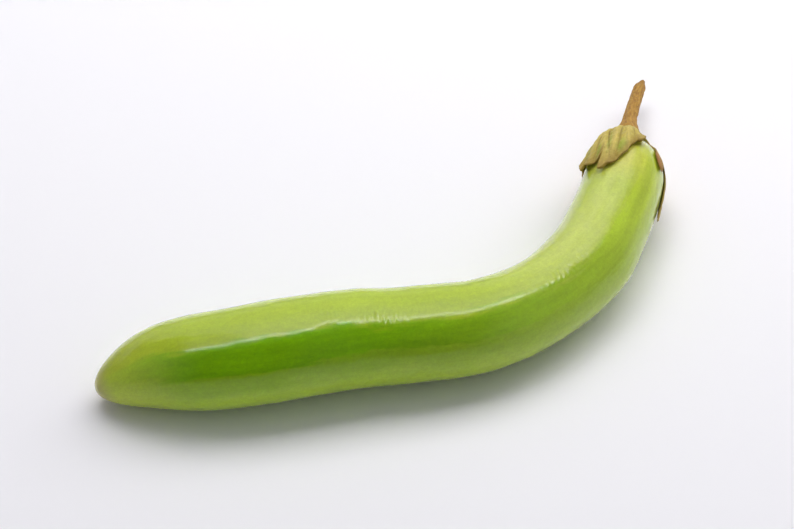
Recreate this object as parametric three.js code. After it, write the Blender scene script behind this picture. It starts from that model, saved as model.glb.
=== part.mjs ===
// A long green eggplant lying on its side: a slender fruit that bends like a
// hockey stick, the five-lobed calyx that caps its neck, and the dry stem.
// Units are millimetres, +Z is up, and the fruit rests on the plane Z = 0.
import * as THREE from 'three';
import { ParametricGeometry } from 'three/addons/geometries/ParametricGeometry.js';

// Middle line of the fruit from the blossom end to the stem end, every 25 mm.
// Each row holds x, y, height of the middle line, and body radius.
const STATIONS = [
  [-116.0, -54.5, 7.5, 18.0],
  [-91.5, -50.0, 14.5, 20.0],
  [-65.0, -48.5, 18.2, 19.5],
  [-41.0, -44.5, 19.7, 20.0],
  [-15.5, -39.0, 19.2, 19.5],
  [9.5, -36.0, 18.7, 19.0],
  [34.5, -30.5, 18.2, 18.5],
  [57.0, -17.5, 17.7, 17.5],
  [75.0, 1.5, 17.7, 18.0],
  [85.0, 21.0, 18.0, 17.5],
  [94.5, 48.5, 18.9, 17.0],
  [98.0, 71.5, 19.5, 15.5],
];
const TIP_TAPER = 60; // length over which the blossom end narrows to a point
const SHOULDER = 22; // length of the rounded stem end
const SIDES = 48; // facets round the fruit

// Calyx: leathery cap, thick at the crown and thin at the edge.
const CALYX_GAP = 0.3; // clearance between the cap and the skin under it
const CALYX_CROWN = 5.5; // thickness where the stem joins
const CALYX_EDGE = 1.1; // thickness along the margin
const CALYX_FALLOFF = 17; // distance from the crown over which it thins
// Margin of the cap: angle round the neck from the top, in degrees, distance of
// the margin from the crown along the skin, and how far the edge lifts off it.
const MARGIN = [
  [-180, 36, 0.1],
  [-165, 27, 0],
  [-150, 36, 0],
  [-134, 44, 0.3],
  [-118, 34, 0.2],
  [-106, 26.5, 0.1],
  [-92, 26.5, 0.4],
  [-76, 31, 1.2],
  [-62, 40, 1.2],
  [-50, 38.5, 0.5],
  [-40, 38, 0.3],
  [-34, 34, 0.2],
  [-31.5, 31, 0.2],
  [-29, 43, 0.6],
  [-17, 39.5, 0.4],
  [-6, 35, 0.3],
  [3, 30, 0.3],
  [12, 25.5, 0.3],
  [22, 22, 0.4],
  [29, 19, 0.4],
  [34, 15.5, 0],
  [46, 15.5, 0],
  [52, 19, 0.1],
  [68, 26.5, 0.3],
  [86, 27, 0.3],
  [95, 29, 0.4],
  [99, 46, 1.2],
  [108, 42, 0.8],
  [120, 30, 0.2],
  [128, 26, 0],
  [145, 38, 0],
  [162, 46, 0],
  [180, 36, 0.1],
];

// Stem: runs on from the crown and dips towards the surface, broken off aslant.
const STEM_PATH = [
  [99.0, 78.4, 19.7],
  [100.8, 88.5, 18.2],
  [102.5, 98.0, 15.8],
  [105.0, 107.5, 13.3],
  [108.0, 117.5, 10.6],
  [109.8, 122.5, 9.2],
];
const STEM_RADIUS = 3.1;
const STEM_FLARE = 1.9; // extra radius at the foot
const STEM_FLARE_LENGTH = 7;
const STEM_FOOT = 4.2; // how far the foot spreads along the skin from the crown
const STEM_SLANT = 2.4; // half the difference in length between its two sides

const UP = new THREE.Vector3(0, 0, 1);

const spine = new THREE.CatmullRomCurve3(
  STATIONS.map(([x, y, z]) => new THREE.Vector3(x, y, z)), false, 'catmullrom', 0.5);
spine.arcLengthDivisions = 1400;
const girth = new THREE.CatmullRomCurve3(
  STATIONS.map(([, , , r]) => new THREE.Vector3(r, 0, 0)), false, 'catmullrom', 0.5);
const fruitLength = spine.getLength();

// Middle point, local axes and body radius at distance s along the fruit.
function stationAt(s) {
  const inside = THREE.MathUtils.clamp(s, 0, fruitLength);
  const t = spine.getUtoTmapping(inside / fruitLength);
  const tangent = spine.getTangent(t);
  const side = new THREE.Vector3().crossVectors(tangent, UP).normalize();
  const up = new THREE.Vector3().crossVectors(side, tangent);
  const centre = spine.getPoint(t).addScaledVector(tangent, s - inside);
  return { centre, side, up, radius: girth.getPoint(t).x };
}

// Point at angle phi, from the top towards the right of travel, kept above Z = 0.
function ringPoint(station, radius, phi, target) {
  target.copy(station.centre);
  target.addScaledVector(station.up, radius * Math.cos(phi));
  target.addScaledVector(station.side, radius * Math.sin(phi));
  target.z = Math.max(target.z, 0);
}

// Closed skin through rows of rings: u runs round, v runs along the rows.
function skin(rows, sides, place) {
  return new ParametricGeometry((u, v, target) => {
    const row = rows[Math.round(v * (rows.length - 1))];
    place(row, Math.round(u * sides) % sides, target);
  }, sides, rows.length - 1);
}

function paint(colour, roughness) {
  return new THREE.MeshStandardMaterial({ color: colour, roughness, metalness: 0 });
}

// Fruit: an elliptical blossom end, the body, and an elliptical shoulder.
function fruitRows() {
  const rows = [];
  for (let i = 0; i <= 10; i += 1) {
    const turn = (i / 10) * (Math.PI / 2);
    rows.push({ s: TIP_TAPER * (1 - Math.cos(turn)), part: Math.sin(turn) });
  }
  const bodyEnd = fruitLength - SHOULDER;
  const bodySteps = 24;
  for (let i = 1; i < bodySteps; i += 1) {
    rows.push({ s: THREE.MathUtils.lerp(TIP_TAPER, bodyEnd, i / bodySteps), part: 1 });
  }
  for (let i = 8; i >= 0; i -= 1) {
    const turn = (i / 8) * (Math.PI / 2);
    rows.push({ s: bodyEnd + SHOULDER * Math.cos(turn), part: Math.sin(turn) });
  }
  return rows.map(({ s, part }) => ({ station: stationAt(s), part }));
}

const fruit = new THREE.Mesh(
  skin(fruitRows(), SIDES, ({ station, part }, k, target) => {
    ringPoint(station, station.radius * part, (k / SIDES) * 2 * Math.PI, target);
  }),
  paint(0x8fb02a, 0.3));
fruit.name = 'fruit';

// Shoulder profile: distance along the skin from the crown, per turn of angle.
const shoulderArc = [0];
const ARC_STEPS = 200;
for (let i = 1; i <= ARC_STEPS; i += 1) {
  const turn = ((i - 0.5) / ARC_STEPS) * (Math.PI / 2);
  const speed = Math.hypot(SHOULDER * Math.sin(turn), 17.4 * Math.cos(turn));
  shoulderArc.push(shoulderArc[i - 1] + speed * (Math.PI / 2 / ARC_STEPS));
}
const shoulderReach = shoulderArc[ARC_STEPS];

function shoulderTurn(reach) {
  const i = Math.min(shoulderArc.findIndex((value) => value >= reach), ARC_STEPS);
  if (i <= 0) {
    return 0;
  }
  const part = (reach - shoulderArc[i - 1]) / (shoulderArc[i] - shoulderArc[i - 1]);
  return ((i - 1 + part) / ARC_STEPS) * (Math.PI / 2);
}

// Point a given distance from the crown along the skin, at a height above it.
function neckPoint(reach, phi, height, target) {
  const onShoulder = reach < shoulderReach;
  const turn = onShoulder ? shoulderTurn(reach) : Math.PI / 2;
  const beyond = onShoulder ? 0 : reach - shoulderReach;
  const s = fruitLength - SHOULDER + (SHOULDER + height) * Math.cos(turn) - beyond;
  const station = stationAt(s);
  ringPoint(station, (station.radius + height) * Math.sin(turn), phi, target);
}

function calyxThickness(reach) {
  const crown = Math.exp(-((reach / CALYX_FALLOFF) ** 2));
  return CALYX_EDGE + (CALYX_CROWN - CALYX_EDGE) * crown;
}

// Calyx: out from the crown along the inner face, round the margin, back outside.
const CALYX_RINGS = 11;
const calyxRows = [];
for (let i = 0; i <= CALYX_RINGS; i += 1) {
  calyxRows.push({ part: i / CALYX_RINGS, outer: false });
}
for (let i = CALYX_RINGS; i >= 0; i -= 1) {
  calyxRows.push({ part: i / CALYX_RINGS, outer: true });
}
// One slice at each row of the margin table and one half way to the next.
const calyxSlices = [];
for (let i = 0; i < MARGIN.length - 1; i += 1) {
  const [angle, reach, lift] = MARGIN[i];
  const [nextAngle, nextReach, nextLift] = MARGIN[i + 1];
  calyxSlices.push({ angle, reach, lift });
  const bulge = 0.04 * Math.abs(nextReach - reach);
  calyxSlices.push({
    angle: (angle + nextAngle) / 2,
    reach: (reach + nextReach) / 2 + bulge,
    lift: (lift + nextLift) / 2,
  });
}

const calyx = new THREE.Mesh(
  skin(calyxRows, calyxSlices.length, ({ part, outer }, k, target) => {
    const slice = calyxSlices[k];
    const reach = slice.reach * part;
    const raise = slice.lift * Math.max(0, (part - 0.6) / 0.4) ** 2;
    const height = CALYX_GAP + raise + (outer ? calyxThickness(reach) : 0);
    neckPoint(reach, THREE.MathUtils.degToRad(slice.angle), height, target);
  }),
  paint(0x94863c, 0.75));
calyx.name = 'calyx';

// Stem: a tapered tube with a flared foot and a slanted, broken end. The foot
// follows the crown of the calyx and stands clear of it.
const stemCurve = new THREE.CatmullRomCurve3(
  STEM_PATH.map((point) => new THREE.Vector3(...point)), false, 'catmullrom', 0.5);
const stemLength = stemCurve.getLength();
const STEM_SIDES = 20;
const STEM_RINGS = 18;
const stemRows = [{ foot: 0 }, { foot: STEM_FOOT / 2 }, { foot: STEM_FOOT }];
for (let i = 1; i <= STEM_RINGS; i += 1) {
  stemRows.push({ part: i / STEM_RINGS, size: 1 });
}
stemRows.push({ part: 1, size: 0 });

const stem = new THREE.Mesh(
  skin(stemRows, STEM_SIDES, ({ foot, part, size }, k, target) => {
    const phi = (k / STEM_SIDES) * 2 * Math.PI;
    if (foot !== undefined) {
      neckPoint(foot, phi, 2 * CALYX_GAP + calyxThickness(foot), target);
      return;
    }
    const tangent = stemCurve.getTangentAt(part);
    const side = new THREE.Vector3().crossVectors(tangent, UP).normalize();
    const up = new THREE.Vector3().crossVectors(side, tangent);
    const flare = STEM_FLARE * Math.exp(-((part * stemLength / STEM_FLARE_LENGTH) ** 2));
    const taper = 1 - 0.16 * part;
    const radius = size * (STEM_RADIUS * taper + flare);
    const slant = size * STEM_SLANT * Math.sin(phi) * Math.max(0, (part - 0.7) / 0.3);
    target.copy(stemCurve.getPointAt(part));
    target.addScaledVector(tangent, slant);
    target.addScaledVector(up, radius * Math.cos(phi));
    target.addScaledVector(side, radius * Math.sin(phi));
  }),
  paint(0xb48f52, 0.75));
stem.name = 'stem';

// The origin is the middle of the bounding box, on the surface that carries it.
const eggplant = new THREE.Group();
eggplant.add(fruit, calyx, stem);
const bounds = new THREE.Box3().setFromObject(eggplant, true);
const middle = bounds.getCenter(new THREE.Vector3());
eggplant.position.set(-middle.x, -middle.y, -bounds.min.z);

export default eggplant;
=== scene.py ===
# A long green eggplant lying on its side: fruit, calyx and stem, on a white
# table under a soft overhead light.
import math

import bpy
import numpy as np
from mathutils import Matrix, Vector


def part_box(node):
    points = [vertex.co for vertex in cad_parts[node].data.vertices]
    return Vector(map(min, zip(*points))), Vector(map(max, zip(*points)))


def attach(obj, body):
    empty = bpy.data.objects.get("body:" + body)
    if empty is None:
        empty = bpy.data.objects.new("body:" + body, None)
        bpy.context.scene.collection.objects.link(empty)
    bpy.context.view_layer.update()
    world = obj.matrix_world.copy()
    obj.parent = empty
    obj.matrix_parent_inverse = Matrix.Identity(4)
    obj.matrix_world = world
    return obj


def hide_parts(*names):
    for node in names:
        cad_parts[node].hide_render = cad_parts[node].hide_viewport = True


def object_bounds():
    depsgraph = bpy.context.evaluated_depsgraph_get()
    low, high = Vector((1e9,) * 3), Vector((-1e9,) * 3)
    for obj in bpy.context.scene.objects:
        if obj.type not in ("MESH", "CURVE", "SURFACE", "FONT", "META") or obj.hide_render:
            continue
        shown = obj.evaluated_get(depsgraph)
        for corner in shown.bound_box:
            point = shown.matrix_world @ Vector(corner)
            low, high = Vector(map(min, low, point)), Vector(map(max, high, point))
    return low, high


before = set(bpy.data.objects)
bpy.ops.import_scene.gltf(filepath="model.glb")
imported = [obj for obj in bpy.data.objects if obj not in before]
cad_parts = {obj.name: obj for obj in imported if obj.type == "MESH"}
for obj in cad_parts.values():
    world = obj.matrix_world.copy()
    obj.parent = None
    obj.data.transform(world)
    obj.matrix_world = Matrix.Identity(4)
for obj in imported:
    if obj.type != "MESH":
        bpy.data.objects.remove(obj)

cad_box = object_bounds()


# ---------------------------------------------------------------- Camera
# A long lens looks down over the eggplant from the outer side of its bend, so
# the fruit runs across the view and the neck bends away from it.
CAMERA_LENS_MM = 85.0
CAMERA_SENSOR_MM = 36.0
CAMERA_ELEVATION = math.radians(46.0)
CAMERA_DISTANCE = 0.750
CAMERA_AIM_RIGHT = 0.0012  # the aim, seen from the middle of the box
CAMERA_AIM_FORWARD = -0.0280
CAMERA_AIM_HEIGHT = 0.020

middle = (cad_box[0] + cad_box[1]) / 2
camera_aim = Vector((middle.x + CAMERA_AIM_RIGHT, middle.y + CAMERA_AIM_FORWARD,
                     CAMERA_AIM_HEIGHT))
camera_back = Vector((0.0, -math.cos(CAMERA_ELEVATION), math.sin(CAMERA_ELEVATION)))
camera_data = bpy.data.cameras.new("camera")
camera_data.lens = CAMERA_LENS_MM
camera_data.sensor_width = CAMERA_SENSOR_MM
camera_data.clip_start = 0.01
camera = bpy.data.objects.new("camera", camera_data)
camera.location = camera_aim + CAMERA_DISTANCE * camera_back
camera.rotation_euler = (-camera_back).to_track_quat("-Z", "Y").to_euler()
bpy.context.scene.collection.objects.link(camera)
bpy.context.scene.camera = camera


# ---------------------------------------------------------------- Fruit
# One grown body: firm spongy flesh under a thin waxy skin. It tapers to a
# blossom end, swells to 40 mm, and bends through the neck to the stem end.
# Its skin has long shallow ridges, soft lumps and fine ripples.

# Middle line about every 25 mm: x, y, height and radius, in millimetres.
FRUIT_STATIONS = np.array([
    (-116.0, -54.5, 7.5, 18.0),
    (-91.5, -50.0, 14.5, 20.0),
    (-65.0, -48.5, 18.2, 19.5),
    (-41.0, -44.5, 19.7, 20.0),
    (-15.5, -39.0, 19.2, 19.5),
    (9.5, -36.0, 18.7, 19.0),
    (34.5, -30.5, 18.2, 18.5),
    (57.0, -17.5, 17.7, 17.5),
    (75.0, 1.5, 17.7, 18.0),
    (85.0, 21.0, 18.0, 17.5),
    (94.5, 48.5, 18.9, 17.0),
    (98.0, 71.5, 19.5, 15.5),
])
TIP_TAPER = 60.0  # length of the narrowing blossom end
TIP_TRIM = 0.1  # the very tip stays this far inside the model
SHOULDER = 22.0  # length of the rounded stem end
FRUIT_LINE_POINTS = 1401
FRUIT_ROWS = 636
TIP_ROWS = 64
SHOULDER_ROWS = 44
FRUIT_SIDES = 150
# Relief of the skin: height and wavelength in millimetres, most waves round,
# number of waves added up, and seed.
FRUIT_RELIEF = [
    (0.16, 75, 3, 10, 3),
    (0.10, 30, 5, 16, 5),
    (0.045, 22, 16, 30, 8),
    (0.024, 9, 34, 40, 9)]
RELIEF_DEPTH = 0.19  # how far under the model's skin the relief is laid
RELIEF_LIMIT = 0.10  # it comes no nearer to that skin, ripples left out
# Patches of fine ripples: distance from the tip, angle from the top, and half
# sizes along and round, in millimetres and degrees.
RIPPLE_PATCHES = np.array([
    (112.0, 16.0, 11.0, 10.0), (187.0, 18.0, 13.0, 12.0), (92.0, 8.0, 5.0, 8.0),
    (150.0, -60.0, 20.0, 15.0), (70.0, 190.0, 20.0, 20.0), (215.0, -100.0, 15.0, 15.0)])
RIPPLE_HEIGHT = 0.10
RIPPLE_WAVES = (1.9, 24, 14, 13)  # as in the relief, after the height
# The skin is painted palest along this line, which faces the soft box: partly its own
# colour, partly painted light.
PALE_LINE_ANGLE = 0.2  # how far behind the top the palest line runs, in radians


def smooth_line(points, count):
    """Points along a uniform Catmull-Rom curve through the given ones: each
    stretch is the cubic whose slope at a point is half the step between its
    neighbours, and the ends are carried on by a mirrored point."""
    ends = np.vstack([2 * points[0] - points[1], points, 2 * points[-1] - points[-2]])
    place = np.linspace(0, len(points) - 1, count)
    i = np.minimum(place.astype(int), len(points) - 2)
    u = (place - i)[:, None]
    a, b, c, d = ends[i], ends[i + 1], ends[i + 2], ends[i + 3]
    return 0.5 * (2 * b + (c - a) * u + (2 * a - 5 * b + 4 * c - d) * u ** 2
                  + (3 * b - a - 3 * c + d) * u ** 3)


def step_lengths(line):
    """Length of each straight step between neighbouring points of a line."""
    return np.linalg.norm(np.diff(line[:, :3], axis=0), axis=1)


def distances(line):
    """Distance of each point from the start of a line: its steps added up."""
    return np.concatenate([[0.0], np.cumsum(step_lengths(line))])


def along_line(line, s):
    """Position, right and up at distance s along a dense line: right is the
    way forward crossed with Z, up is right crossed with forward, and past an
    end the line runs on straight."""
    reach = distances(line)
    inside = np.clip(s, 0.0, reach[-1])
    slope = np.gradient(line[:, :3], axis=0)
    slope /= np.linalg.norm(slope, axis=1, keepdims=True)
    forward = np.stack([np.interp(inside, reach, slope[:, k]) for k in range(3)], -1)
    forward /= np.linalg.norm(forward, axis=-1, keepdims=True)
    place = np.stack([np.interp(inside, reach, line[:, k]) for k in range(3)], -1)
    place = place + (s - inside)[..., None] * forward
    right = np.cross(forward, (0.0, 0.0, 1.0))
    right /= np.linalg.norm(right, axis=-1, keepdims=True)
    return place, right, np.cross(right, forward)


def ring(place, right, up, radius, angle):
    """A point at an angle from the top towards the right, radius away."""
    return place + radius[..., None] * (
        np.cos(angle)[..., None] * up + np.sin(angle)[..., None] * right)


def outward(grid):
    """Unit normals of a grid closed round its columns: the slope along the
    rows crossed with the slope round the columns."""
    down = np.gradient(grid, axis=0)
    across = np.roll(grid, -1, axis=1) - np.roll(grid, 1, axis=1)
    normal = np.cross(across, down)
    return normal / np.maximum(np.linalg.norm(normal, axis=-1, keepdims=True), 1e-9)


def swell(s, angle, along, waves, count, seed):
    """Soft random relief between about -1 and 1: a sum of cosines, each with a
    wavelength of 0.7 to 1.6 times `along` millimetres one way and a whole
    number of waves, up to `waves`, round the other way."""
    rng = np.random.default_rng(seed)
    total = np.zeros(np.broadcast(s, angle).shape)
    for _ in range(count):
        pace = 2 * np.pi / (along * rng.uniform(0.7, 1.6)) * rng.choice([-1, 1])
        turns = rng.integers(0, waves + 1)
        total += np.cos(pace * s + turns * angle + rng.uniform(0, 2 * np.pi))
    return total / np.sqrt(count)


def half_turn(degrees):
    """The same angle, between -180 and 180 degrees."""
    return (degrees + 180) % 360 - 180


def patches(s, degrees, table):
    """Soft patches added up. A row of the table is a patch: its distance along,
    its angle, and its half sizes along and round. It is a bell both ways."""
    off_along = (s[..., None] - table[:, 0]) / table[:, 2]
    off_round = half_turn(degrees[..., None] - table[:, 1]) / table[:, 3]
    return np.exp(-off_along ** 2 - off_round ** 2).sum(-1)


def skin_object(name, grid):
    """A closed mesh from a grid of points in millimetres: the columns join
    round, and the first and last rows each close to one point."""
    rows, sides = grid.shape[:2]
    inner = grid[1:-1].reshape(-1, 3)
    points = np.vstack([grid[0].mean(0), inner, grid[-1].mean(0)]) * 0.001
    k = np.arange(sides)
    after = (k + 1) % sides
    start = 1 + (np.arange(rows - 3) * sides)[:, None]
    quads = np.stack([start + k, start + after, start + sides + after,
                      start + sides + k], -1).reshape(-1, 4)
    last = 1 + (rows - 3) * sides
    first_fan = np.stack([np.zeros(sides, int), 1 + after, 1 + k], -1)
    last_fan = np.stack([last + k, last + after,
                         np.full(sides, len(points) - 1)], -1)
    mesh = bpy.data.meshes.new(name)
    mesh.from_pydata(points.tolist(), [],
                     first_fan.tolist() + quads.tolist() + last_fan.tolist())
    mesh.polygons.foreach_set("use_smooth", np.ones(len(mesh.polygons), bool))
    mesh.update()
    piece = bpy.data.objects.new(name, mesh)
    bpy.context.scene.collection.objects.link(piece)
    return piece


def store(piece, name, values):
    """Keeps one number or one vector per grid point, in the mesh's order."""
    if values.ndim == 3:
        flat = np.vstack([values[0].mean(0), values[1:-1].reshape(-1, 3),
                          values[-1].mean(0)])
        piece.data.attributes.new(name, "FLOAT_VECTOR", "POINT").data.foreach_set(
            "vector", flat.astype(np.float32).ravel())
    else:
        flat = np.concatenate([[values[0].mean()], values[1:-1].ravel(),
                               [values[-1].mean()]])
        piece.data.attributes.new(name, "FLOAT", "POINT").data.foreach_set(
            "value", flat.astype(np.float32))


def hex_colour(code):
    """Linear colour of an sRGB hex value."""
    parts = [int(code[i:i + 2], 16) / 255 for i in (1, 3, 5)]
    return tuple(c / 12.92 if c <= 0.04045 else ((c + 0.055) / 1.055) ** 2.4
                 for c in parts) + (1.0,)


def add_node(tree, kind, links=(), **settings):
    """Adds one node. A setting named in<name or number> goes to that socket,
    any other to the node; links are (socket, output socket) pairs."""
    node = tree.nodes.new("ShaderNode" + kind)
    for key, value in settings.items():
        if key.startswith("in_"):
            name = key[3:]
            socket = node.inputs[int(name)] if name.isdigit() else node.inputs[
                name.replace("_", " ")]
            socket.default_value = value
        else:
            setattr(node, key, value)
    for socket, output in links:
        tree.links.new(output, node.inputs[socket])
    return node


def new_material(name):
    """An empty node material with its output and a Principled shader."""
    material = bpy.data.materials.new(name)
    material.use_nodes = True
    tree = material.node_tree
    tree.nodes.clear()
    shader = add_node(tree, "BsdfPrincipled")
    add_node(tree, "OutputMaterial", [("Surface", shader.outputs["BSDF"])])
    return material, tree, shader


fruit_line = smooth_line(FRUIT_STATIONS, FRUIT_LINE_POINTS)
fruit_reach = distances(fruit_line)
fruit_length = step_lengths(fruit_line).sum()
shoulder_start = fruit_length - SHOULDER


def fruit_radius(s):
    """Body radius at distance s, before the ends are rounded."""
    return np.interp(s, fruit_reach, fruit_line[:, 3])


# Rows run from the blossom end to the stem end. Both ends are quarters of an
# ellipse, stepped by equal turns, and the body between them has equal steps.
tip_turn = np.linspace(0, np.pi / 2, TIP_ROWS)
shoulder_turn = np.linspace(np.pi / 2, 0, SHOULDER_ROWS)
body_count = FRUIT_ROWS - TIP_ROWS - SHOULDER_ROWS
body_s = np.linspace(TIP_TAPER, shoulder_start, body_count + 2)[1:-1]
row_s = np.concatenate([
    TIP_TRIM + (TIP_TAPER - TIP_TRIM) * (1 - np.cos(tip_turn)), body_s,
    shoulder_start + SHOULDER * np.cos(shoulder_turn)])
row_part = np.concatenate([
    np.sin(tip_turn), np.ones(body_count), np.sin(shoulder_turn)])
fruit_s, fruit_angle = np.meshgrid(
    row_s, np.linspace(0, 2 * np.pi, FRUIT_SIDES, endpoint=False), indexing="ij")
fruit_part = np.repeat(row_part[:, None], FRUIT_SIDES, 1)
place, right, up = along_line(fruit_line, fruit_s)
fruit_grid = ring(place, right, up, fruit_radius(fruit_s) * fruit_part, fruit_angle)

# The model's own box puts this curve in the frame's place.
cad_low, cad_high = (np.array(corner) * 1000 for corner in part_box("fruit"))
curve_low, curve_high = fruit_grid.min((0, 1)), fruit_grid.max((0, 1))
frame_shift = (cad_low - curve_low + cad_high - curve_high) / 2 * (1, 1, 0)

# Relief: broad swellings, soft dents longer than they are wide, long shallow
# ridges, and patches of fine slanting ripples about 2 mm apart. It lies under
# the model's skin and fades out at both ends.
ripples = patches(fruit_s, np.degrees(fruit_angle), RIPPLE_PATCHES) * swell(
    fruit_s, fruit_angle, *RIPPLE_WAVES)
relief = sum(size * swell(fruit_s, fruit_angle, *waves)
             for size, *waves in FRUIT_RELIEF)
relief = np.minimum(relief - RELIEF_DEPTH, -RELIEF_LIMIT) + RIPPLE_HEIGHT * ripples
fruit_grid = fruit_grid + (relief * fruit_part ** 2)[..., None] * outward(fruit_grid)
# The soft belly is pressed flat where it rests on the table.
fruit_grid[..., 2] = np.maximum(fruit_grid[..., 2], 0.0)
fruit_grid += frame_shift

fruit = skin_object("fruit_skin", fruit_grid)
around = fruit_radius(fruit_s) * 0.001
store(fruit, "skin", np.stack([
    fruit_s * 0.001, around * np.cos(fruit_angle), around * np.sin(fruit_angle)], -1))


def waxy_skin():
    """Living eggplant skin: a yellow-green top, a deep green band along each
    flank and a paler belly, all under a thin wax that reflects softly. The
    pale top and belly are partly the skin's own colour and partly painted
    light: the top palest where the soft box falls, the belly lit by the white
    table below. It is duller and yellower at the blossom end and paler at the
    neck."""
    material, tree, shader = new_material("waxy_green_skin")
    skin = add_node(tree, "Attribute", attribute_name="skin")
    parts = add_node(tree, "SeparateXYZ", [("Vector", skin.outputs["Vector"])])
    along = parts.outputs["X"]
    # Streaks 20 mm long and 3 mm wide, and clouds 26 mm long and 9 mm wide.
    stretched = add_node(tree, "Mapping", [("Vector", skin.outputs["Vector"])],
                         in_Scale=(0.13, 1.0, 1.0))
    streaks = add_node(tree, "TexNoise", [("Vector", stretched.outputs["Vector"])],
                       in_Scale=380.0, in_Detail=4.0, in_Roughness=0.6)
    half = add_node(tree, "Mapping", [("Vector", skin.outputs["Vector"])],
                    in_Scale=(0.35, 1.0, 1.0))
    clouds = add_node(tree, "TexNoise", [("Vector", half.outputs["Vector"])],
                      in_Scale=110.0, in_Detail=3.0, in_Roughness=0.55)
    # Angle away from the palest line just behind the top, in radians, with a
    # ragged edge drawn by the streaks and clouds. The colours laid out by this
    # angle are partly painted light, palest where the soft box falls.
    turn = add_node(tree, "Math", [(0, parts.outputs["Z"]), (1, parts.outputs["Y"])],
                    operation="ARCTAN2")
    from_line = add_node(tree, "Math", [(0, turn.outputs[0])], operation="ADD",
                         in_1=PALE_LINE_ANGLE)
    away = add_node(tree, "Math", [(0, from_line.outputs[0])], operation="ABSOLUTE")
    streaked = add_node(tree, "Math", [(0, streaks.outputs["Fac"]),
                                       (2, away.outputs[0])],
                        operation="MULTIPLY_ADD", in_1=0.50)
    ragged = add_node(tree, "Math", [(0, clouds.outputs["Fac"]),
                                     (2, streaked.outputs[0])],
                      operation="MULTIPLY_ADD", in_1=0.60)
    level = add_node(tree, "Math", [(0, ragged.outputs[0])], operation="SUBTRACT",
                     in_1=0.55)
    band = add_node(tree, "MapRange", [("Value", level.outputs[0])],
                    in_From_Min=0.55, in_From_Max=0.72,
                    interpolation_type="SMOOTHSTEP")
    band_foot = add_node(tree, "MapRange", [("Value", level.outputs[0])],
                         in_From_Min=1.21, in_From_Max=1.28)
    belly = add_node(tree, "MapRange", [("Value", level.outputs[0])],
                     in_From_Min=1.35, in_From_Max=1.95,
                     interpolation_type="SMOOTHSTEP")
    # Soft streaks 31 mm by 4 mm vary the tone, most of all in the band.
    drawn = add_node(tree, "Mapping", [("Vector", skin.outputs["Vector"])],
                     in_Scale=(0.14, 1.0, 1.0))
    long_streaks = add_node(tree, "TexNoise", [("Vector", drawn.outputs["Vector"])],
                            in_Scale=230.0, in_Detail=5.0, in_Roughness=0.65)
    band_tone = add_node(tree, "MapRange", [("Value", long_streaks.outputs["Fac"])],
                         in_From_Min=0.35, in_From_Max=0.65, in_To_Min=0.86,
                         in_To_Max=1.09)
    top_tone = add_node(tree, "MapRange", [("Value", long_streaks.outputs["Fac"])],
                        in_From_Min=0.35, in_From_Max=0.65, in_To_Min=0.95,
                        in_To_Max=1.05)
    # The neck turns paler and yellower, and the band fades there.
    neck = add_node(tree, "MapRange", [("Value", along)], in_From_Min=0.140,
                    in_From_Max=0.205, interpolation_type="SMOOTHSTEP")
    paling = add_node(tree, "MapRange", [("Value", along)], in_From_Min=0.105,
                      in_From_Max=0.260)
    # On the neck the top is painted palest near that line, partly as painted light from the
    # soft box.
    from_pale_line = add_node(tree, "MapRange", [("Value", level.outputs[0])],
                          in_From_Min=0.05, in_From_Max=0.60)
    neck_top = add_node(tree, "Mix", [("Factor", from_pale_line.outputs["Result"])],
                        data_type="RGBA", in_6=hex_colour("#c2ce62"),
                        in_7=hex_colour("#aebe3a"))
    top = add_node(tree, "Mix", [("Factor", neck.outputs["Result"]),
                                 (7, neck_top.outputs[2])],
                   data_type="RGBA", in_6=hex_colour("#aabf20"))
    flank = add_node(tree, "Mix", [("Factor", paling.outputs["Result"])],
                     data_type="RGBA", in_6=hex_colour("#82b700"),
                     in_7=hex_colour("#b2c12c"))
    under = add_node(tree, "Mix", [("Factor", paling.outputs["Result"])],
                     data_type="RGBA", in_6=hex_colour("#afcf2d"),
                     in_7=hex_colour("#aec234"))
    toned_top = add_node(tree, "Mix", [(6, top.outputs[2]),
                                       (7, top_tone.outputs["Result"])],
                         data_type="RGBA", blend_type="MULTIPLY", in_0=1.0)
    toned_flank = add_node(tree, "Mix", [(6, flank.outputs[2]),
                                         (7, band_tone.outputs["Result"])],
                           data_type="RGBA", blend_type="MULTIPLY", in_0=1.0)
    # Below the band the skin turns paler in two steps towards the belly: partly its own
    # colour, partly painted light from the white table below.
    shaded = add_node(tree, "Mix", [("Factor", paling.outputs["Result"])],
                      data_type="RGBA", in_6=hex_colour("#95bb1c"),
                      in_7=hex_colour("#aec234"))
    banded = add_node(tree, "Mix", [("Factor", band.outputs["Result"]),
                                    (6, toned_top.outputs[2]),
                                    (7, toned_flank.outputs[2])],
                      data_type="RGBA")
    footed = add_node(tree, "Mix", [("Factor", band_foot.outputs["Result"]),
                                    (6, banded.outputs[2]), (7, shaded.outputs[2])],
                      data_type="RGBA")
    body = add_node(tree, "Mix", [("Factor", belly.outputs["Result"]),
                                  (6, footed.outputs[2]), (7, under.outputs[2])],
                    data_type="RGBA")
    # Blossom end: duller and yellower over the first 45 mm, khaki at the very
    # end.
    tip = add_node(tree, "MapRange", [("Value", along)], in_From_Min=0.045,
                   in_From_Max=0.006, in_To_Max=0.85,
                   interpolation_type="SMOOTHSTEP")
    low = add_node(tree, "MapRange", [("Value", level.outputs[0])],
                   in_From_Min=0.25, in_From_Max=0.75)
    tip_tone = add_node(tree, "Mix", [("Factor", low.outputs["Result"])],
                        data_type="RGBA", in_6=hex_colour("#a6b11e"),
                        in_7=hex_colour("#c0d336"))
    tipped = add_node(tree, "Mix", [("Factor", tip.outputs["Result"]),
                                    (6, body.outputs[2]), (7, tip_tone.outputs[2])],
                      data_type="RGBA")
    end = add_node(tree, "MapRange", [("Value", along)], in_From_Min=0.010,
                   in_From_Max=0.001, interpolation_type="SMOOTHSTEP")
    ended = add_node(tree, "Mix", [("Factor", end.outputs["Result"]),
                                   (6, tipped.outputs[2])],
                     data_type="RGBA", in_7=hex_colour("#b0ac4b"))
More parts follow.
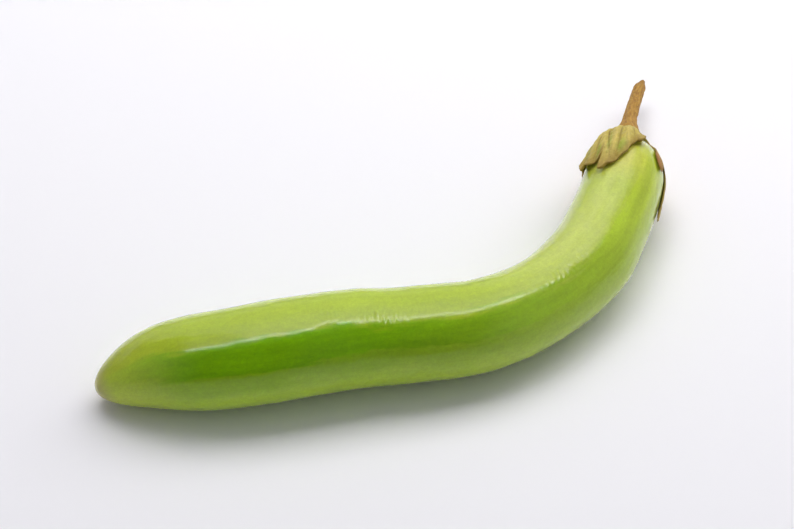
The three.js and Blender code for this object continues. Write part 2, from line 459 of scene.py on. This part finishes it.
    # Skin that the calyx used to cover is yellower.
    collar = add_node(tree, "MapRange", [("Value", along)], in_From_Min=0.240,
                      in_From_Max=0.258, in_To_Max=0.55,
                      interpolation_type="SMOOTHSTEP")
    near_pale_line = add_node(tree, "MapRange", [("Value", level.outputs[0])],
                     in_From_Min=0.9, in_From_Max=0.4)
    collared = add_node(tree, "Math", [(0, collar.outputs["Result"]),
                                       (1, near_pale_line.outputs["Result"])],
                        operation="MULTIPLY")
    covered = add_node(tree, "Mix", [("Factor", collared.outputs[0]),
                                     (6, ended.outputs[2])],
                       data_type="RGBA", in_7=hex_colour("#dccf62"))
    # Mottling 2 mm across, and pores drawn as coarse as 0.7 mm so that they
    # show.
    mottle = add_node(tree, "TexNoise", [("Vector", skin.outputs["Vector"])],
                      in_Scale=480.0, in_Detail=3.0, in_Roughness=0.6)
    mottle_mask = add_node(tree, "MapRange", [("Value", mottle.outputs["Fac"])],
                           in_From_Min=0.3, in_From_Max=0.7, in_To_Min=0.93,
                           in_To_Max=1.06)
    specks = add_node(tree, "TexNoise", [("Vector", skin.outputs["Vector"])],
                      in_Scale=1500.0, in_Detail=1.0)
    speck_mask = add_node(tree, "MapRange", [("Value", specks.outputs["Fac"])],
                          in_From_Min=0.35, in_From_Max=0.65, in_To_Min=0.95,
                          in_To_Max=1.04)
    mask = add_node(tree, "Math", [(0, mottle_mask.outputs["Result"]),
                                   (1, speck_mask.outputs["Result"])],
                    operation="MULTIPLY")
    final = add_node(tree, "Mix", [(6, covered.outputs[2]), (7, mask.outputs[0])],
                     data_type="RGBA", blend_type="MULTIPLY", in_0=1.0)
    tree.links.new(final.outputs[2], shader.inputs["Base Color"])
    # The mottling and the streaks lift the wax a little.
    fine = add_node(tree, "Bump", [("Height", mottle.outputs["Fac"])],
                    in_Strength=0.3, in_Distance=0.0002)
    long_fine = add_node(tree, "Bump", [("Height", streaks.outputs["Fac"]),
                                        ("Normal", fine.outputs["Normal"])],
                         in_Strength=0.3, in_Distance=0.0003)
    tree.links.new(long_fine.outputs["Normal"], shader.inputs["Normal"])
    shader.inputs["Roughness"].default_value = 0.17
    shader.inputs["IOR"].default_value = 1.24
    shader.inputs["Coat Weight"].default_value = 0.75
    shader.inputs["Coat Roughness"].default_value = 0.12
    shader.inputs["Coat IOR"].default_value = 1.4
    shader.inputs["Sheen Weight"].default_value = 0.06
    shader.inputs["Sheen Roughness"].default_value = 0.4
    shader.inputs["Subsurface Weight"].default_value = 0.7
    shader.inputs["Subsurface Radius"].default_value = (1.0, 0.9, 0.2)
    shader.inputs["Subsurface Scale"].default_value = 0.008
    return material


fruit.data.materials.append(waxy_skin())
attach(fruit, "root")
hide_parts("fruit")


# ---------------------------------------------------------------- Calyx
# A leathery cap grown onto the shoulder, with five pointed lobes. It is thick
# and ribbed at the crown, thin and slightly lifted along its dry edge.
CALYX_GAP = 0.3  # clearance over the skin
CALYX_CROWN = 5.5  # thickness at the crown
CALYX_EDGE = 0.8  # thickness along the edge
CALYX_FALLOFF = 17.0  # how far from the crown it thins
CALYX_RADIUS = 18.0  # the cap's usual distance from the middle line
SHOULDER_RADIUS = 17.4  # the neck's, where the shoulder starts
EDGE_WANDER = 0.35  # how far small waves push the edge in and out
# Angle round the neck from the top, distance of the edge from the crown along
# the skin, and how far the edge lifts.
CALYX_MARGIN = np.array([
    (-180, 36, 0.1), (-165, 27, 0), (-150, 36, 0), (-134, 44, 0.3),
    (-118, 34, 0.2), (-106, 26.5, 0.1), (-92, 26.5, 0.4), (-82, 28, 0.8),
    (-76, 31, 1.2), (-70, 34, 1.4), (-63, 39, 1.3), (-59, 40.3, 1.5),
    (-55, 37.5, 1.5), (-50, 37.8, 1.0), (-45, 38, 0.6), (-41, 38, 0.4),
    (-38, 36.5, 0.3), (-35, 34, 0.3), (-33.5, 31.5, 0.3), (-32.5, 31.5, 0.6),
    (-32, 38, 0.8), (-30.5, 43, 0.9), (-28, 43.3, 0.7), (-24, 42.5, 0.5),
    (-19, 40.2, 0.4), (-11, 38.2, 0.3), (-6, 34.8, 0.3), (1, 31.2, 0.4),
    (4, 27.8, 0.5), (11, 24.5, 0.8), (16, 24, 1.2), (22, 22.5, 1.8),
    (26, 19.5, 1.4), (29, 16.5, 0.5), (33, 13, 0), (38, 11, 0), (61, 11, 0),
    (62.5, 16, 0.1), (64, 24.5, 0.2), (67, 28, 0.2), (71, 30.3, 0.3),
    (74, 31.3, 0.3), (77, 27.5, 0.1), (81, 24, 0), (89, 25, 0), (90, 34, 0.3),
    (90.5, 42, 0.4), (91.5, 48, 0.5), (94, 48, 0.6), (99, 46, 0.6),
    (108, 42, 0.5), (120, 30, 0.2), (128, 26, 0), (145, 38, 0), (162, 46, 0),
    (180, 36, 0.1)])
# Angle and share of the full thickness: the outer side of the bend is thin.
CALYX_THINNING = np.array([(-180, 1), (17, 1), (27, 0.55), (36, 0.25), (86, 0.25),
                           (96, 0.5), (112, 1), (180, 1)])
# A lobe on the outer side of the bend leans back towards the top: angle of its
# middle, half its width, and how far it leans, in degrees.
LEANING_LOBE = (66.0, 14.0, -20.0)
# Ribs: angle at a set distance from the crown, drift in degrees per millimetre,
# half width in degrees and height.
RIB_DATUM = 20.0
CALYX_RIBS = np.array([
    (-162, 0.0, 12, 0.7), (-134, 0.2, 11, 0.9), (-104, -0.3, 10, 0.7),
    (-76, 0.3, 9, 0.8), (-52, 0.15, 6.5, 1.0), (-37, 0.65, 7, 0.9),
    (-19, -0.05, 7, 1.0), (1, -0.1, 8, 0.8), (15, 0.4, 5, 0.6),
    (66, 0.0, 9, 0.15), (94, 0.2, 8, 0.7), (122, -0.3, 10, 0.7),
    (150, 0.3, 11, 0.9)])
RIB_SLOPES = (0.9, 1.6)  # the soft and the steep side of a rib
# A crease: its place and width in half widths of the rib, and its depth as a
# share of the rib's height.
CREASE_PLACE = 0.95
CREASE_WIDTH = 0.22
CREASE_DEPTH = 0.35
WRINKLE_HEIGHT = 0.13
# Hollows that have stayed green: distance from the crown, angle, and half
# sizes along and round, in millimetres and degrees.
CALYX_GREEN = np.array([
    (25, -25, 8, 4), (29, -7, 5.5, 7), (31, -39, 6, 4), (20, -90, 7, 9),
    (30, -150, 8, 8), (24, -60, 6, 5), (30, 108, 8, 7), (26, 136, 7, 8),
    (10, 50, 4, 12), (34, 168, 7, 8)])
# The leaning lobe has dried to a red-brown: the same four numbers.
CALYX_DRIED = np.array([(28, 68, 8, 9)])
CALYX_SIDES = 560
CALYX_INNER_ROWS = 40
CALYX_EDGE_ROWS = 7
CALYX_OUTER_ROWS = 90


def rise(x, start, run):
    """Climbs evenly from 0 at a start to 1 a run further on, and stays there."""
    return np.clip((x - start) / run, 0, 1)


def neck_point(reach, angle, height):
    """A point a distance from the crown along the skin and a height above
    it: on the shoulder the distance is turned into the angle of its ellipse
    by adding up small arcs, and past it the distance runs down the body."""
    turn = np.linspace(0, np.pi / 2, 400)
    speed = np.hypot(SHOULDER * np.sin(turn), SHOULDER_RADIUS * np.cos(turn))
    arc = np.concatenate([[0], np.cumsum((speed[1:] + speed[:-1]) / 2 * np.diff(turn))])
    at = np.interp(reach, arc, turn)
    beyond = np.maximum(reach - arc[-1], 0)
    s = shoulder_start + (SHOULDER + height) * np.cos(at) - beyond
    place, right, up = along_line(fruit_line, s)
    return ring(place, right, up,
                (fruit_radius(s) + height) * np.sin(at), angle)


def calyx_thickness(reach):
    """Edge thickness plus a bell that falls off from the crown."""
    crown = np.exp(-(reach / CALYX_FALLOFF) ** 2)
    return CALYX_EDGE + (CALYX_CROWN - CALYX_EDGE) * crown


# Slices are spaced by equal steps along the wandering edge, so its clefts are
# as finely cut as its tips.
fine_angle = np.linspace(-180, 180, 7201)
fine_reach = np.interp(fine_angle, CALYX_MARGIN[:, 0], CALYX_MARGIN[:, 1])
edge_run = np.concatenate([[0], np.cumsum(np.hypot(
    np.diff(fine_reach), np.diff(np.radians(fine_angle)) * CALYX_RADIUS))])
slice_degrees = np.interp(np.linspace(0, edge_run[-1], CALYX_SIDES + 1)[:-1],
                          edge_run, fine_angle)
slice_angle = np.radians(slice_degrees)
slice_reach = np.interp(slice_degrees, CALYX_MARGIN[:, 0], CALYX_MARGIN[:, 1])
slice_reach = slice_reach + EDGE_WANDER * swell(
    slice_reach, slice_angle, 40, 60, 20, 21)
slice_lift = np.interp(slice_degrees, CALYX_MARGIN[:, 0], CALYX_MARGIN[:, 2])

# Rows: out along the inner face, round the edge, and back over the outer one.
edge_turn = np.linspace(0, np.pi, CALYX_EDGE_ROWS + 2)[1:-1]
calyx_part = np.concatenate([np.linspace(0, 1, CALYX_INNER_ROWS),
                             np.ones(CALYX_EDGE_ROWS),
                             np.linspace(1, 0, CALYX_OUTER_ROWS)])
calyx_layer = np.concatenate([np.zeros(CALYX_INNER_ROWS),
                              (1 - np.cos(edge_turn)) / 2,
                              np.ones(CALYX_OUTER_ROWS)])
calyx_bulge = np.concatenate([np.zeros(CALYX_INNER_ROWS), np.sin(edge_turn),
                              np.zeros(CALYX_OUTER_ROWS)])
part, angle = np.meshgrid(calyx_part, slice_angle, indexing="ij")
layer = np.repeat(calyx_layer[:, None], CALYX_SIDES, 1)
bulge = np.repeat(calyx_bulge[:, None], CALYX_SIDES, 1)
reach = slice_reach[None] * part
# The lobes lift over the last 30 % of their length.
lift = slice_lift[None] * rise(part, 0.70, 0.30) ** 2
# Each rib rises softly on one side and drops into a crease on the other. It
# grows from 5 to 17 mm from the crown and sinks again towards the edge.
degrees = np.degrees(angle)
drift = (reach[..., None] - RIB_DATUM) * CALYX_RIBS[:, 1]
from_rib = half_turn(degrees[..., None] - CALYX_RIBS[:, 0] - drift)
from_rib = from_rib / CALYX_RIBS[:, 2]
slope = np.where(from_rib > 0, RIB_SLOPES[1], RIB_SLOPES[0])
crest = np.exp(-(from_rib * slope) ** 2)
groove = np.exp(-((from_rib - CREASE_PLACE) / CREASE_WIDTH) ** 2)
rib_run = rise(reach, 5, 12) * np.clip(1.3 - part, 0.4, 1)
rib_height = rib_run * ((crest - CREASE_DEPTH * groove) * CALYX_RIBS[:, 3]).sum(-1)
# Wrinkles lie across, and both fade out at the crown and on the thin side.
wrinkles = WRINKLE_HEIGHT * swell(reach, angle, 5, 50, 30, 31)
share = np.interp(degrees, CALYX_THINNING[:, 0], CALYX_THINNING[:, 1])
share = 1 - (1 - share) * rise(reach, 5, 8)
thickness = calyx_thickness(reach) * share
relief = (rib_height + wrinkles) * rise(reach, 0, 8)
height = CALYX_GAP + lift + layer * (thickness + relief * share)
# The lobe leans more and more from 14 to 26 mm from the crown.
off_lobe = (degrees - LEANING_LOBE[0]) / LEANING_LOBE[1]
lean_reach = rise(reach, 14, 12)
lean = np.radians(LEANING_LOBE[2]) * np.exp(-off_lobe ** 2)
lean = lean * lean_reach ** 2 * (3 - 2 * lean_reach)
calyx_grid = neck_point(reach + 0.5 * thickness * bulge, angle + lean, height)
# The outer face stays 0.3 mm clear of the table.
calyx_grid[..., 2] = np.maximum(calyx_grid[..., 2], 0.02 + 0.3 * layer)
calyx_grid += frame_shift
calyx = skin_object("calyx_cap", calyx_grid)
leaf_radius = CALYX_RADIUS / 1000
store(calyx, "leaf", np.stack([
    reach * 0.001, leaf_radius * np.cos(angle), leaf_radius * np.sin(angle)], -1))
store(calyx, "crest", np.clip(crest.sum(-1), 0, 1) * rib_run)
store(calyx, "groove", np.clip(groove.sum(-1), 0, 1) * rib_run)
store(calyx, "green", patches(reach, degrees, CALYX_GREEN))
store(calyx, "dried", patches(reach, degrees, CALYX_DRIED))
store(calyx, "edge", part)


def dry_calyx():
    """Leathery calyx drying from green to khaki: matt and fibrous, paler along its
    ribs, dark brown in the creases as painted shade, still green in the hollows
    between, and darker towards its edge as painted shade."""
    material, tree, shader = new_material("drying_calyx_leather")
    leaf = add_node(tree, "Attribute", attribute_name="leaf")
    crest = add_node(tree, "Attribute", attribute_name="crest")
    groove = add_node(tree, "Attribute", attribute_name="groove")
    green = add_node(tree, "Attribute", attribute_name="green")
    dried = add_node(tree, "Attribute", attribute_name="dried")
    edge = add_node(tree, "Attribute", attribute_name="edge")
    # Fibres 6 mm long and 1 mm wide, drawn coarse so that they show, and scuffs
    # 3 mm across.
    stretched = add_node(tree, "Mapping", [("Vector", leaf.outputs["Vector"])],
                         in_Scale=(0.2, 1.0, 1.0))
    fibres = add_node(tree, "TexNoise", [("Vector", stretched.outputs["Vector"])],
                      in_Scale=900.0, in_Detail=4.0, in_Roughness=0.6)
    scuffs = add_node(tree, "TexNoise", [("Vector", leaf.outputs["Vector"])],
                      in_Scale=330.0, in_Detail=3.0, in_Roughness=0.6)
    # Scuffs fray the edges of the green hollows.
    frayed = add_node(tree, "Math", [(0, scuffs.outputs["Fac"]), (2, green.outputs["Fac"])],
                      operation="MULTIPLY_ADD", in_1=0.9)
    greened = add_node(tree, "MapRange", [("Value", frayed.outputs[0])],
                       in_From_Min=0.65, in_From_Max=1.35)
    colour = add_node(tree, "Mix", [("Factor", greened.outputs["Result"])],
                      data_type="RGBA", in_6=hex_colour("#b09d3c"),
                      in_7=hex_colour("#8fa024"))
    crested = add_node(tree, "Mix", [("Factor", crest.outputs["Fac"]),
                                     (6, colour.outputs[2])],
                       data_type="RGBA", in_7=hex_colour("#d0bc66"))
    # Dark brown in the creases, broken by the fibres: painted shade where the creases sink.
    crease_shade_fibres = add_node(tree, "Math", [(0, groove.outputs["Fac"]),
                                      (1, fibres.outputs["Fac"])], operation="MULTIPLY")
    crease_shade = add_node(tree, "MapRange", [("Value", crease_shade_fibres.outputs[0])],
                       in_From_Min=0.1, in_From_Max=0.5, in_To_Max=0.85)
    crease_shaded = add_node(tree, "Mix", [("Factor", crease_shade.outputs["Result"]),
                                     (6, crested.outputs[2])],
                       data_type="RGBA", in_7=hex_colour("#6e561c"))
    reddened = add_node(tree, "Mix", [("Factor", dried.outputs["Fac"]),
                                      (6, crease_shaded.outputs[2])],
                        data_type="RGBA", in_7=hex_colour("#a5621f"))
    shade = add_node(tree, "MapRange", [("Value", fibres.outputs["Fac"])],
                     in_From_Min=0.3, in_From_Max=0.7, in_To_Min=0.80,
                     in_To_Max=1.16)
    shaded = add_node(tree, "Mix", [(6, reddened.outputs[2]),
                                    (7, shade.outputs["Result"])],
                      data_type="RGBA", blend_type="MULTIPLY", in_0=1.0)
    # Darker towards the edge of the lobes: painted shade on the lower, lifted margins.
    edge_shade = add_node(tree, "MapRange", [("Value", edge.outputs["Fac"])],
                   in_From_Min=0.75, in_From_Max=1.0, in_To_Max=0.6)
    edge_shaded = add_node(tree, "Mix", [("Factor", edge_shade.outputs["Result"]),
                                    (6, shaded.outputs[2])],
                      data_type="RGBA", in_7=hex_colour("#8a6826"))
    tree.links.new(edge_shaded.outputs[2], shader.inputs["Base Color"])
    bump = add_node(tree, "Bump", [("Height", fibres.outputs["Fac"])],
                    in_Strength=0.7, in_Distance=0.0005)
    scuffed = add_node(tree, "Bump", [("Height", scuffs.outputs["Fac"]),
                                      ("Normal", bump.outputs["Normal"])],
                       in_Strength=0.9, in_Distance=0.0008)
    tree.links.new(scuffed.outputs["Normal"], shader.inputs["Normal"])
    shader.inputs["Roughness"].default_value = 0.6
    shader.inputs["IOR"].default_value = 1.45
    shader.inputs["Specular IOR Level"].default_value = 0.25
    return material


calyx.data.materials.append(dry_calyx())
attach(calyx, "root")
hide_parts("calyx")


# ---------------------------------------------------------------- Stem
# A woody stalk that runs on from the crown, flared at its foot, ridged like
# dry bark, and broken off aslant at its end.
STEM_POINTS = np.array([
    (99.0, 78.4, 19.7), (100.9, 88.5, 18.2), (103.1, 98.0, 15.8),
    (105.5, 107.4, 13.6), (107.4, 115.3, 11.9), (108.2, 119.6, 10.9)])
STEM_RADIUS = 3.1
STEM_TAPER = 0.16  # share of the radius that is gone at the end
STEM_FOOT = 1.6  # how far the foot is sunk into the crown
STEM_FLARE = 1.6
STEM_FLARE_LENGTH = 6.0
STEM_SLANT = 4.4  # how far one side of the broken end stands out
# A knob near the end: height, distance from the end, half length and angle.
STEM_KNOB = (0.5, 3.5, 1.6, 1.7)
STEM_GRAIN_RADIUS = 0.003  # in metres, the round that the bark's grain lies on
STEM_LINE_POINTS = 400
STEM_ROWS = 110
STEM_SIDES = 96
STEM_END = (0.93, 0.8, 0.6, 0.3, 0.12, 0.0)  # shares of the radius that close it

stem_line = smooth_line(STEM_POINTS, STEM_LINE_POINTS)
stem_length = step_lengths(stem_line).sum()
stem_part = np.concatenate([
    [0.0], np.linspace(0, 1, STEM_ROWS), np.ones(len(STEM_END))])
stem_size = np.concatenate([[0.0], np.ones(STEM_ROWS), STEM_END])
part, angle = np.meshgrid(
    stem_part, np.linspace(0, 2 * np.pi, STEM_SIDES, endpoint=False), indexing="ij")
size = np.repeat(stem_size[:, None], STEM_SIDES, 1)
run = part * stem_length - STEM_FOOT * (1 - part)
flare = STEM_FLARE * np.exp(-(np.maximum(run, 0) / STEM_FLARE_LENGTH) ** 2)
# Bark: five slowly turning ridges, and soft roughness in two sizes.
bark = (0.20 * np.cos(5 * angle + 0.08 * run) + 0.10 * swell(run, angle, 9, 5, 12, 41)
        + 0.05 * swell(run, angle, 3, 14, 20, 43))
knob_height, knob_back, knob_half, knob_angle = STEM_KNOB
knob = knob_height * np.exp(-((run - stem_length + knob_back) / knob_half) ** 2)
knob = knob * np.maximum(np.cos(angle - knob_angle), 0) ** 2
radius = size * (STEM_RADIUS * (1 - STEM_TAPER * part) + flare + bark + knob)
# The last 40 % slants more and more, and only the end face is torn.
slant = STEM_SLANT * size * np.sin(angle) * rise(part, 0.6, 0.4)
torn = 0.35 * swell(run, angle, 4, 9, 12, 47) * size * (part > 0.995)
place, right, up = along_line(stem_line, run + slant + torn)
stem_grid = ring(place, right, up, radius, angle) + frame_shift
stem = skin_object("stem_stalk", stem_grid)
store(stem, "bark", np.stack([
    run * 0.001, STEM_GRAIN_RADIUS * np.cos(angle),
    STEM_GRAIN_RADIUS * np.sin(angle)], -1))


def dry_stalk():
    """Dry woody stalk: matt golden-brown bark with darker fibres 0.9 mm wide,
    drawn coarse so that they show, dark specks 1 mm across, and a torn end
    painted darker over the last 4 mm as painted shade."""
    material, tree, shader = new_material("dry_woody_stalk")
    bark = add_node(tree, "Attribute", attribute_name="bark")
    stretched = add_node(tree, "Mapping", [("Vector", bark.outputs["Vector"])],
                         in_Scale=(0.2, 1.0, 1.0))
    fibres = add_node(tree, "TexNoise", [("Vector", stretched.outputs["Vector"])],
                      in_Scale=1100.0, in_Detail=4.0, in_Roughness=0.65)
    grain = add_node(tree, "MapRange", [("Value", fibres.outputs["Fac"])],
                     in_From_Min=0.3, in_From_Max=0.7)
    colour = add_node(tree, "Mix", [("Factor", grain.outputs["Result"])],
                      data_type="RGBA", in_6=hex_colour("#8f6224"),
                      in_7=hex_colour("#c2973f"))
    specks = add_node(tree, "TexNoise", [("Vector", bark.outputs["Vector"])],
                      in_Scale=900.0, in_Detail=2.0)
    speck_mask = add_node(tree, "MapRange", [("Value", specks.outputs["Fac"])],
                          in_From_Min=0.60, in_From_Max=0.68, in_To_Max=0.6)
    specked = add_node(tree, "Mix", [("Factor", speck_mask.outputs["Result"]),
                                     (6, colour.outputs[2])],
                       data_type="RGBA", in_7=hex_colour("#6b4a22"))
    parts = add_node(tree, "SeparateXYZ", [("Vector", bark.outputs["Vector"])])
    # The last 4 mm are painted darker: painted shade on the torn end.
    torn = add_node(tree, "MapRange", [("Value", parts.outputs["X"])],
                    in_From_Min=stem_length * 0.001 - 0.004,
                    in_From_Max=stem_length * 0.001, in_To_Max=0.55)
    end_shaded = add_node(tree, "Mix", [("Factor", torn.outputs["Result"]),
                                      (6, specked.outputs[2])],
                        data_type="RGBA", in_7=hex_colour("#85602e"))
    tree.links.new(end_shaded.outputs[2], shader.inputs["Base Color"])
    bump = add_node(tree, "Bump", [("Height", fibres.outputs["Fac"])],
                    in_Strength=0.8, in_Distance=0.0005)
    tree.links.new(bump.outputs["Normal"], shader.inputs["Normal"])
    shader.inputs["Roughness"].default_value = 0.7
    shader.inputs["Specular IOR Level"].default_value = 0.25
    return material


stem.data.materials.append(dry_stalk())
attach(stem, "root")
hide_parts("stem")


# ---------------------------------------------------------------- Table
# A wide table top of white laminate with a matt face, which the eggplant lies
# on. It is level, at the frame's own zero height.
TABLE_HALF = 3.0


def white_table():
    """Matt white laminate, faintly cool, with a weak reflection."""
    material, _, shader = new_material("white_laminate")
    shader.inputs["Base Color"].default_value = hex_colour("#f5f3f5")
    shader.inputs["Roughness"].default_value = 0.6
    shader.inputs["Specular IOR Level"].default_value = 0.2
    return material


table_mesh = bpy.data.meshes.new("table")
table_mesh.from_pydata([(-TABLE_HALF, -TABLE_HALF, 0), (TABLE_HALF, -TABLE_HALF, 0),
                        (TABLE_HALF, TABLE_HALF, 0), (-TABLE_HALF, TABLE_HALF, 0)],
                       [], [(0, 1, 2, 3)])
table = bpy.data.objects.new("table", table_mesh)
bpy.context.scene.collection.objects.link(table)
table_mesh.materials.append(white_table())


# ---------------------------------------------------------------- Light
# A wide soft box hangs over and behind the eggplant and lights it evenly. What
# gleams on the wax is a set of panels just under it, brighter towards the front,
# and two tubes under them. The room is pale, dim in front, brighter on the right.
LAMP_HEIGHT = 1.1
PANEL_HEIGHT = 1.06
SOFTBOX_TURN = math.radians(15.0)
PANEL_TURN = math.radians(25.0)
# Each lamp: left, right, front and back of its rectangle as a share of its
# height, and its brightness, where 1 is white.
SOFTBOX = (-0.36, 2.00, 0.12, 0.79, 3.84)
GLOSS_PANELS = [
    (-2.5, 4.5, 1.60, 7.00, 0.6),
    (-0.7, 1.4, 0.90, 1.60, 1.0),
    (-0.3, 1.1, 0.50, 0.90, 1.4),
    (-0.2, 0.8, 0.25, 0.50, 2.1),
    (-0.2, 0.65, 0.10, 0.25, 2.5),
    (-0.2, 0.60, -0.07, 0.10, 2.7),
    (-0.25, 0.15, -0.14, -0.07, 2.7),
    (-0.50, -0.20, -0.06, 0.25, 1.1),
    (-0.50, -0.20, 0.25, 0.50, 0.7),
    (0.60, 0.95, -0.06, 0.25, 1.5),
    (0.80, 1.10, 0.25, 0.50, 1.2)]
# Two tubes along the front edge, each with its own turn in degrees, and a
# dimmer strip in front of each.
TUBE_HEIGHT = 1.03
TUBES = [
    (12, -0.62, 0.03, -0.20, -0.10, 7.0),
    (12, -0.62, 0.03, -0.25, -0.20, 2.5),
    (34, 0.00, 0.62, -0.17, -0.08, 8.0),
    (34, 0.00, 0.62, -0.21, -0.17, 2.5)]
ROOM = 0.40
ROOM_FRONT = 0.07
WINDOW = 0.18  # added towards the right
ROOM_AIR = (0.97, 0.98, 1.08, 1.0)  # faintly cool


def ceiling_lamp(name, height, turn, left, right, front, back, brightness):
    """A level rectangular lamp that faces down, swung round above the fruit by
    a turn; its power is its brightness times its area times pi."""
    data = bpy.data.lights.new(name, "AREA")
    data.shape = "RECTANGLE"
    data.size = (right - left) * height
    data.size_y = (back - front) * height
    data.energy = brightness * math.pi * data.size * data.size_y
    lamp = bpy.data.objects.new(name, data)
    across, away = height * (left + right) / 2, height * (front + back) / 2
    lamp.location = (across * math.cos(turn) - away * math.sin(turn),
                     across * math.sin(turn) + away * math.cos(turn)
                     + CAMERA_AIM_FORWARD, height)
    lamp.rotation_euler.z = turn
    bpy.context.scene.collection.objects.link(lamp)
    return lamp


ceiling_lamp("softbox", LAMP_HEIGHT, SOFTBOX_TURN, *SOFTBOX).visible_glossy = False
for number, panel in enumerate(GLOSS_PANELS):
    gloss_panel = ceiling_lamp("gloss_panel_%d" % number, PANEL_HEIGHT, PANEL_TURN,
                               *panel)
    gloss_panel.visible_diffuse = False
for number, (tube_turn, *tube) in enumerate(TUBES):
    gloss_tube = ceiling_lamp("gloss_tube_%d" % number, TUBE_HEIGHT,
                              math.radians(tube_turn), *tube)
    gloss_tube.visible_diffuse = False

# The room is weakest in the middle of its front, and grows evenly stronger
# towards the window on the right.
world = bpy.data.worlds.new("room")
world.use_nodes = True
bpy.context.scene.world = world
sky = world.node_tree
sky.nodes.clear()
way = add_node(sky, "TexCoord")
way_parts = add_node(sky, "SeparateXYZ", [("Vector", way.outputs["Generated"])])
ahead = add_node(sky, "MapRange", [("Value", way_parts.outputs["Y"])],
                 in_From_Min=0.1, in_From_Max=-0.35, interpolation_type="SMOOTHSTEP")
aside = add_node(sky, "Math", [(0, way_parts.outputs["X"])], operation="SUBTRACT",
                 in_1=0.05)
far_aside = add_node(sky, "Math", [(0, aside.outputs[0])], operation="ABSOLUTE")
central = add_node(sky, "MapRange", [("Value", far_aside.outputs[0])],
                   in_From_Min=0.7, in_From_Max=0.3, interpolation_type="SMOOTHSTEP")
dim = add_node(sky, "Math", [(0, ahead.outputs["Result"]),
                             (1, central.outputs["Result"])], operation="MULTIPLY")
room = add_node(sky, "MapRange", [("Value", dim.outputs[0])],
                in_To_Min=ROOM, in_To_Max=ROOM_FRONT)
window = add_node(sky, "MapRange", [("Value", way_parts.outputs["X"])],
                  in_From_Min=0.1, in_From_Max=0.8, in_To_Max=WINDOW)
both = add_node(sky, "Math", [(0, room.outputs["Result"]), (1, window.outputs["Result"])],
                operation="ADD")
air = add_node(sky, "Background", [("Strength", both.outputs[0])],
               in_Color=ROOM_AIR)
add_node(sky, "OutputWorld", [("Surface", air.outputs["Background"])])

bpy.context.scene.view_settings.view_transform = "Standard"
